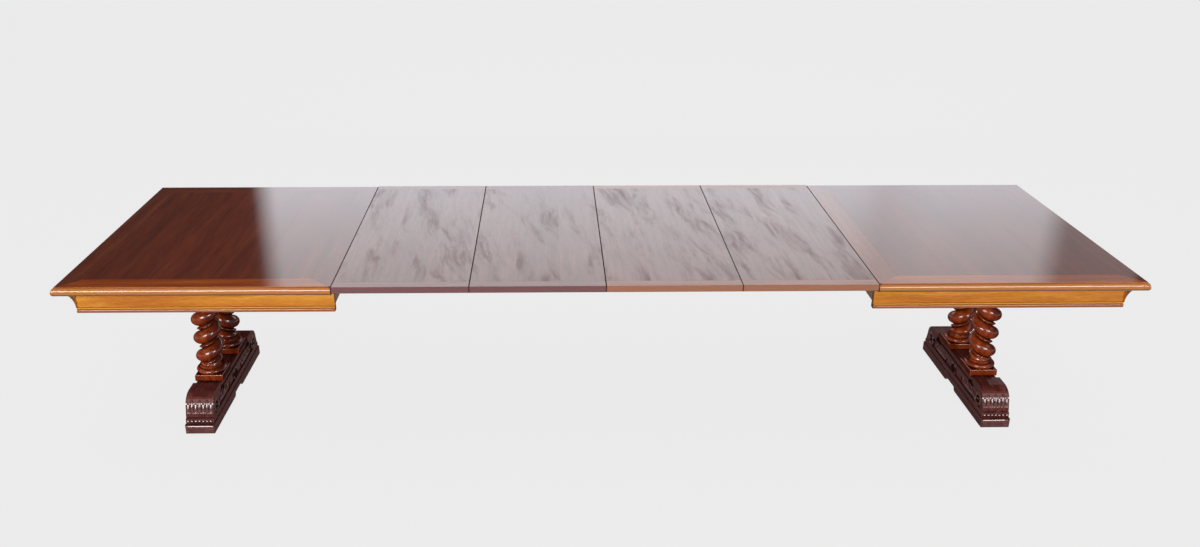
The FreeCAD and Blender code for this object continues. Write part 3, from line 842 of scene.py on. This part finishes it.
@dataclass
class SideCarving:
    """Volutes, leaves, eyes and rosette on the long sides of a foot.

    Lengths are in metres, for the outer side of a foot on the middle line. The
    size of a carved lobe is half its length, half its height and how far it
    stands out.
    """

    facets: int = 18
    rings: int = 12
    squeezes: tuple[Pair, ...] = ((0.25, 0.82), (0.55, 0.7))
    skin_x: float = -58 * MM
    floor_x: float = -52 * MM
    volute_x: float = -56 * MM
    volute_y: float = -304 * MM
    volute_z: float = 96 * MM
    volute_radius: float = 31 * MM
    volute_shrink: float = 0.84
    volute_quarters: int = 8
    volute_eye: Triple = (6.5 * MM, 6.5 * MM, 5 * MM)
    volute_steps: int = 7
    weld: float = 0.05 * MM
    band_facets: int = 12
    band_radius: float = 4.6 * MM
    band_shrink: float = 0.93
    disc_x: float = -55.6 * MM
    disc_depth: float = 3 * MM
    eye_place: Triple = (-50 * MM, -209 * MM, 122 * MM)
    eye: Triple = (32 * MM, 12.5 * MM, 5 * MM)
    slit_yz: Pair = (-98 * MM, 80 * MM)
    slit: Triple = (17 * MM, 4.5 * MM, 2.4 * MM)
    slit_turn: float = math.radians(58)
    stem_yz: Pair = (-178 * MM, 78.5 * MM)
    stem: Triple = (84 * MM, 8 * MM, 5 * MM)
    leaflet_z: float = 89.5 * MM
    leaflet: Triple = (26 * MM, 7 * MM, 4.4 * MM)
    leaflet_turns: tuple[Pair, ...] = (
        (-236 * MM, math.radians(34)), (-186 * MM, math.radians(28)),
        (-136 * MM, math.radians(24)))
    boss_z: float = 88.5 * MM
    petals: int = 8
    petal_reach: float = 11 * MM
    petal: Triple = (8 * MM, 4.4 * MM, 2.6 * MM)
    button: Triple = (5 * MM, 5 * MM, 2.9 * MM)
    ground: Triple = (25 * MM, 23 * MM, 1.4 * MM)

    def volute(self) -> Object:
        """Spins the scroll in quarter turns of falling radius.

        Returns:
            The settled scroll with its eye.
        """
        clear_selection()
        centre = Vector((self.volute_x, self.volute_y, self.volute_z))
        radius = self.volute_radius
        bpy.ops.mesh.primitive_circle_add(vertices=self.band_facets, radius=self.band_radius,
                                          location=centre + Vector((0, radius, 0)))
        piece = bpy.context.object
        settle(piece)
        open_mesh()
        for quarter in range(1, self.volute_quarters + 1):
            bpy.ops.mesh.spin(steps=self.volute_steps, angle=math.pi / 2, center=centre,
                              axis=(1, 0, 0))
            angle = quarter * math.pi / 2
            out = Vector((0, math.cos(angle), math.sin(angle)))
            here = centre + out * radius
            bpy.ops.transform.resize(value=(self.band_shrink,) * 3, center_override=here)
            radius *= self.volute_shrink
            centre = here - out * radius
        bpy.ops.mesh.select_all(action="SELECT")
        bpy.ops.mesh.remove_doubles(threshold=self.weld)
        bpy.ops.mesh.fill_holes(sides=0)
        bpy.ops.mesh.select_all(action="SELECT")
        bpy.ops.mesh.normals_make_consistent(inside=False)
        clear_selection()
        return join_all([piece, self._drop(centre, self.volute_eye)], "volute")

    def _drop(self, place: Vector, size: Triple, turn: float = 0.0) -> Object:
        """Carves one drop-shaped lobe, thick at one end and drawn out at the other.

        Args:
            place: middle of the lobe.
            size: half its length, half its greatest height and how far it stands out.
            turn: its turn in the side's plane.

        Returns:
            The settled lobe.
        """
        clear_selection()
        bpy.ops.mesh.primitive_uv_sphere_add(segments=self.facets, ring_count=self.rings,
                                             radius=1.0, rotation=(0, math.pi / 2, 0))
        piece = bpy.context.object
        settle(piece)
        bpy.ops.object.mode_set(mode="EDIT")
        for share, squeeze in self.squeezes:
            bpy.ops.mesh.select_mode(type="VERT")
            mesh = bmesh.from_edit_mesh(piece.data)
            for vertex in mesh.verts:
                vertex.select_set(vertex.co.y > share)
            mesh.select_flush_mode()
            bmesh.update_edit_mesh(piece.data)
            bpy.ops.transform.resize(value=(1.0, 1.0, squeeze), center_override=(0, 0, 0))
        bpy.ops.object.mode_set(mode="OBJECT")
        half_long, half_tall, deep = size
        shape = Matrix.Translation(place) @ Matrix.Rotation(turn, 4, "X")
        piece.data.transform(shape @ Matrix.Diagonal((deep, half_long, half_tall, 1.0)))
        return piece

    def leaves(self) -> Object:
        """Runs a long leaf and its leaflets from the volute towards the rosette.

        Returns:
            The settled run.
        """
        parts = [self._drop(Vector((self.floor_x, *self.stem_yz)), self.stem)]
        for along, turn in self.leaflet_turns:
            place = Vector((self.floor_x, along, self.leaflet_z))
            parts.append(self._drop(place, self.leaflet, turn))
        return join_all(parts, "leaves")

    def shade_grounds(self) -> Object:
        """Sets dark pieces as painted shade: the scroll's disc, the eye and a slit by the leaf.

        Returns:
            The settled grounds.
        """
        disc = Vector((self.disc_x, self.volute_y, self.volute_z))
        slit = Vector((self.floor_x, *self.slit_yz))
        return join_all([
            self._drop(disc, (self.volute_radius, self.volute_radius, self.disc_depth)),
            self._drop(Vector(self.eye_place), self.eye),
            self._drop(slit, self.slit, self.slit_turn)], "shade_grounds")

    def rosette(self) -> Object:
        """Sets petals round a button on the square boss and its dark ground, all as painted
        shade.

        Returns:
            The settled rosette.
        """
        middle = Vector((self.skin_x, 0, self.boss_z))
        petal = self._drop(middle + Vector((0, self.petal_reach, 0)), self.petal)
        pick_only(petal)
        open_mesh()
        last = self.petals - 1
        bpy.ops.mesh.spin(steps=last, dupli=True, angle=2 * math.pi * last / self.petals,
                          center=middle, axis=(1, 0, 0))
        clear_selection()
        button = self._drop(middle, self.button)
        ground = self._drop(middle, self.ground)
        return join_all([petal, button, ground], "rosette")


@dataclass
class Pedestal:
    """Twist columns, carved sledge foot and head of one end."""

    side: str
    toe: ToeCarving = field(default_factory=ToeCarving)
    flank: SideCarving = field(default_factory=SideCarving)

    def dress(self) -> None:
        """Polishes columns and foot, and oils the pedestal's head."""
        for place in ("front", "back"):
            dress_node(f"{self.side}_column_{place}")
        for node in ("foot_base", "foot_beam", "bearer", "yoke", "packing_blocks"):
            dress_node(f"{self.side}_{node}", Grain.ACROSS)

    def middle_x(self) -> float:
        """Gives where the foot's middle plane crosses the table's length."""
        low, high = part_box(f"{self.side}_foot_beam")
        return (low.x + high.x) / 2

    def build(self) -> None:
        """Carves toes and sides of the foot, each form once and then copied."""
        shift = Matrix.Translation((self.middle_x(), 0, 0))
        ends = {"front": shift, "back": shift @ Matrix.Scale(-1, 4, (0, 1, 0))}
        over_x = Matrix.Scale(-1, 4, (1, 0, 0))
        for made, name in ((self.toe.leaf(), "toe_leaf"), (self.toe.bead_row(), "toe_beads")):
            self._place(made, {f"{name}_{end}": move for end, move in ends.items()}, FOOT)
        # Volutes and leaves are polished; the dark grounds are nearly black painted shade.
        for made, name, wood in ((self.flank.volute(), "volute", FOOT),
                                 (self.flank.leaves(), "leaves", FOOT),
                                 (self.flank.shade_grounds(), "shade_grounds", CARVING_SHADE)):
            moves = {f"{name}_left_{end}": move for end, move in ends.items()}
            moves |= {f"{name}_right_{end}": move @ over_x for end, move in ends.items()}
            self._place(made, moves, wood)
        # The rosette is nearly black, as painted shade.
        rosette = self.flank.rosette()
        self._place(rosette, {"rosette_left": shift, "rosette_right": shift @ over_x}, CARVING_SHADE)

    def _place(self, made: Object, moves: dict[str, Matrix], wood: WoodFinish) -> None:
        """Copies a carved form to its places on this foot, to ride on this end.

        Args:
            made: the form, for a foot on the middle line; it is used up.
            moves: way to each place, by the name of the copy after the side's.
            wood: its finish.
        """
        body, slot = f"{self.side}_end", "foot_wood"
        for name, move in moves.items():
            piece = copy_moved(made, f"{self.side}_{name}", move)
            polish(piece, wood)
            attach(piece, body)
            LOG.info("built %s", piece.name)
        bpy.data.objects.remove(made)


@dataclass
class Slides:
    """Telescopic slides and their stop pegs."""

    bars: tuple[str, ...] = ("left_slides", "right_slides", "middle_slide_front",
                             "middle_slide_back")

    def dress(self) -> None:
        """Waxes the bars and leaves the pegs bare."""
        for node in self.bars:
            dress_node(node, Grain.ALONG)
        for side in SIDES:
            dress_node(f"{side}_slide_stops")


@dataclass
class Leaf:
    """One loose leaf with its cross bands and battens."""

    number: int
    band: WoodFinish

    def dress(self) -> None:
        """Gives board and bands their satin polish."""
        dress_node(f"leaf_{self.number}_board")
        dress_node(f"leaf_{self.number}_bands", finish=self.band)
        dress_node(f"leaf_{self.number}_battens", Grain.ALONG)


@dataclass
class Studio:
    """Pale floor and backdrop, soft light and the camera.

    Places are in metres, and camera angles in degrees. The image is taken as
    1200 by 547; its optical centre is off the middle, so the lens is shifted.
    """

    pale: str = "#f1f1f1"
    shaded: str = "#a8a8a8"
    floor_size: float = 80.0
    floor_gap: float = 0.4 * MM
    floor_even: float = 0.92
    backdrop_facets: int = 96
    backdrop_radius: float = 32.0
    backdrop_height: float = 9.5
    camera_place: Triple = (-0.2170, -4.3384, 2.3289)
    yaw: float = 1.2896
    pitch: float = 22.7879
    roll: float = 0.2050
    focal_px: float = 1068.73
    image_px: Pair = (1200.0, 547.0)
    centre_px: Pair = (571.15, 286.07)
    sensor_mm: float = 36.0
    view_reach: float = 200.0
    dome_rise: Pair = (0.42, 0.72)
    dome_levels: Pair = (0.06, 0.82)
    lamp_aim: Triple = (0.0, 0.0, 0.4)
    glint_ahead: float = 20 * MM
    lamps: tuple[tuple[str, Triple, Pair, float], ...] = (
        ("left window", (-3.1, -6.0, 1.9), (3.2, 1.3), 15.5),
        ("right window", (3.6, -6.0, 1.9), (2.9, 1.2), 13.0),
        ("fill", (0.0, -6.0, 3.1), (10.0, 0.8), 2.0))
    panel_reach: Pair = (-2.62, 4.8)
    panel_heights: Pair = (1.35, 3.3)
    panel_y: float = 4.0
    panel_radiance: float = 2.5625
    panel_stops: Stops = (
        (0.0, "#303030"), (0.024, "#ffffff"), (0.657, "#ffffff"), (0.697, "#ebebeb"),
        (0.751, "#f6f6f6"), (0.879, "#eeeeee"), (0.909, "#949494"), (1.0, "#9c9c9c"))
    tint_heights: Pair = (1.7, 2.7)
    tint_stops: Stops = ((0.0, "#f0f6ff"), (1.0, "#e2e0e2"))

    def pale_material(self, name: str, even_share: float) -> Material:
        """Makes the stage's pale paper, softly shadowed and clear from behind.

        Args:
            name: material name.
            even_share: share of its look that is even, whatever the light.

        Returns:
            The material.
        """
        made, tree = blank_material(name)
        paper = add_node(tree, "BsdfDiffuse", {"Color": linear(self.shaded)})
        even = add_node(tree, "Emission", {"Color": linear(self.pale), "Strength": 1.0})
        path = add_node(tree, "LightPath")
        seen = path["Is Camera Ray"]
        for kind in ("Is Glossy Ray", "Is Transmission Ray"):
            seen = add_node(tree, "Math", {0: seen, 1: path[kind]},
                            operation="MAXIMUM")[0]
        share = add_node(tree, "Math", {0: seen, 1: even_share}, operation="MULTIPLY")
        both = add_node(tree, "MixShader", {
            "Fac": share[0], 1: paper[0], 2: even[0]})
        under = add_node(tree, "NewGeometry")["Backfacing"]
        clear = add_node(tree, "BsdfTransparent")
        both = add_node(tree, "MixShader", {
            "Fac": under, 1: both[0], 2: clear[0]})
        add_node(tree, "OutputMaterial", {"Surface": both[0]})
        return made

    def build_stage(self) -> None:
        """Lays the floor and stands the backdrop round it."""
        clear_selection()
        bpy.ops.mesh.primitive_plane_add(size=self.floor_size, location=(0, 0, -self.floor_gap))
        floor = bpy.context.object
        floor.name = "studio_floor"
        floor.data.materials.append(self.pale_material("matt pale paper floor", self.floor_even))
        bpy.ops.mesh.primitive_cylinder_add(
            vertices=self.backdrop_facets, radius=self.backdrop_radius,
            depth=self.backdrop_height, end_fill_type="NOTHING",
            location=(0, 0, self.backdrop_height / 2 - self.floor_gap))
        backdrop = bpy.context.object
        backdrop.name = "studio_backdrop"
        backdrop.data.materials.append(self.pale_material("matt pale paper backdrop", 1.0))
        for stage in (floor, backdrop):
            settle(stage)
        LOG.info("stage ready")

    def build_light(self) -> None:
        """Hangs the dome and the lamps in front and stands a screen behind."""
        world = bpy.data.worlds.new("soft overhead dome")
        bpy.context.scene.world = world
        world.use_nodes = True
        tree = world.node_tree
        tree.nodes.clear()
        way = add_node(tree, "TexCoord")["Generated"]
        height = add_node(tree, "SeparateXYZ", {0: way})["Z"]
        level = add_node(tree, "MapRange", {
            "Value": height, "From Min": self.dome_rise[0], "From Max": self.dome_rise[1],
            "To Min": self.dome_levels[0], "To Max": self.dome_levels[1]},
            interpolation_type="SMOOTHSTEP")
        glow = add_node(tree, "Background", {
            "Color": (1.0, 1.0, 1.0, 1.0), "Strength": level["Result"]})
        plain = add_node(tree, "Background", {"Color": linear(self.pale), "Strength": 1.0})
        seen = add_node(tree, "LightPath")["Is Camera Ray"]
        both = add_node(tree, "MixShader", {
            "Fac": seen, 1: glow[0], 2: plain[0]})
        add_node(tree, "OutputWorld", {"Surface": both[0]})
        for name, place, size, radiance in self.lamps:
            aim = (Vector(self.lamp_aim) - Vector(place)).normalized()
            self._panel(name, Vector(place), aim, size, radiance).visible_glossy = False
            ahead = Vector(place) + aim * self.glint_ahead
            glint = self._panel(f"{name} glint", ahead, aim, size, radiance)
            glint.visible_diffuse = False
            glint.light_linking.receiver_collection = GLINTS
        self._screen()
        LOG.info("light ready")

    def _screen(self) -> None:
        """Stands the bright screen that the polished top mirrors, unseen itself."""
        left, right = self.panel_reach
        low, high = self.panel_heights
        clear_selection()
        bpy.ops.mesh.primitive_plane_add(
            size=1.0, location=((left + right) / 2, self.panel_y, (low + high) / 2),
            rotation=(math.pi / 2, 0, 0))
        screen = bpy.context.object
        screen.name = "studio_screen"
        screen.scale = (right - left, high - low, 1.0)
        settle(screen)
        made, tree = blank_material("lit paper screen")
        place = add_node(tree, "TexCoord")["Object"]
        split = add_node(tree, "SeparateXYZ", {0: place})
        tones = []
        for axis, reach, stops in (("X", self.panel_reach, self.panel_stops),
                                   ("Z", self.tint_heights, self.tint_stops)):
            share = add_node(tree, "MapRange", {
                "Value": split[axis], "From Min": reach[0], "From Max": reach[1]})
            tones.append(add_node(tree, "ValToRGB", {"Fac": share["Result"]})["Color"])
            set_ramp(tones[-1], stops)
        colour = add_node(tree, "Mix", {"Factor": 1.0, 6: tones[0], 7: tones[1]},
                          data_type="RGBA", blend_type="MULTIPLY")[2]
        glow = add_node(tree, "Emission", {"Color": colour, "Strength": self.panel_radiance})
        add_node(tree, "OutputMaterial", {"Surface": glow[0]})
        screen.data.materials.append(made)
        screen.visible_camera = False

    def _panel(self, name: str, place: Vector, aim: Vector, size: Pair,
               radiance: float) -> Object:
        """Hangs one soft rectangular lamp that the camera doesn't see.

        Args:
            name: lamp name.
            place: its middle.
            aim: the way it shines.
            size: width and height.
            radiance: brightness of its face, where 1 is a white surface.

        Returns:
            The lamp.
        """
        lamp = bpy.data.lights.new(name, "AREA")
        lamp.shape = "RECTANGLE"
        lamp.size, lamp.size_y = size
        lamp.energy = radiance * math.pi * size[0] * size[1]
        hung = bpy.data.objects.new(name, lamp)
        bpy.context.scene.collection.objects.link(hung)
        hung.location = place
        hung.rotation_euler = aim.to_track_quat("-Z", "Y").to_euler()
        hung.visible_camera = False
        return hung

    def build_camera(self) -> None:
        """Sets the camera at the photograph's viewing angle."""
        yaw, pitch, roll = (math.radians(a) for a in (self.yaw, self.pitch, self.roll))
        ahead = Vector((math.sin(yaw) * math.cos(pitch), math.cos(yaw) * math.cos(pitch),
                        -math.sin(pitch)))
        level = Vector((math.cos(yaw), -math.sin(yaw), 0.0))
        up = level.cross(ahead)
        right = level * math.cos(roll) + up * math.sin(roll)
        up = up * math.cos(roll) - level * math.sin(roll)
        turn = Matrix((right, up, -ahead)).transposed().to_4x4()
        lens = bpy.data.cameras.new("camera")
        lens.sensor_fit = "HORIZONTAL"
        lens.sensor_width = self.sensor_mm
        wide, tall = self.image_px
        lens.lens = self.focal_px / wide * self.sensor_mm
        lens.shift_x = (wide / 2 - self.centre_px[0]) / wide
        lens.shift_y = (self.centre_px[1] - tall / 2) / wide
        lens.clip_end = self.view_reach
        camera = bpy.data.objects.new("camera", lens)
        bpy.context.scene.collection.objects.link(camera)
        camera.matrix_world = Matrix.Translation(self.camera_place) @ turn
        bpy.context.scene.camera = camera
        bpy.context.scene.view_settings.view_transform = "Standard"
        LOG.info("camera ready")


def main() -> None:
    """Builds the studio and dresses the table, piece by piece."""
    studio = Studio()
    studio.build_camera()
    studio.build_stage()
    studio.build_light()
    for side, inner in zip(SIDES, (BORDER, INNER_BORDER)):
        EndTop(side, inner).dress()
        ApronFrame(side).dress()
        pedestal = Pedestal(side)
        pedestal.dress()
        pedestal.build()
    Slides().dress()
    bands = (LEAF_BAND_RED, LEAF_BAND_RED, LEAF_BAND_TAN, LEAF_BAND_TAN)
    for number, band in enumerate(bands, start=1):
        Leaf(number, band).dress()


if __name__ == "__main__":
    main()
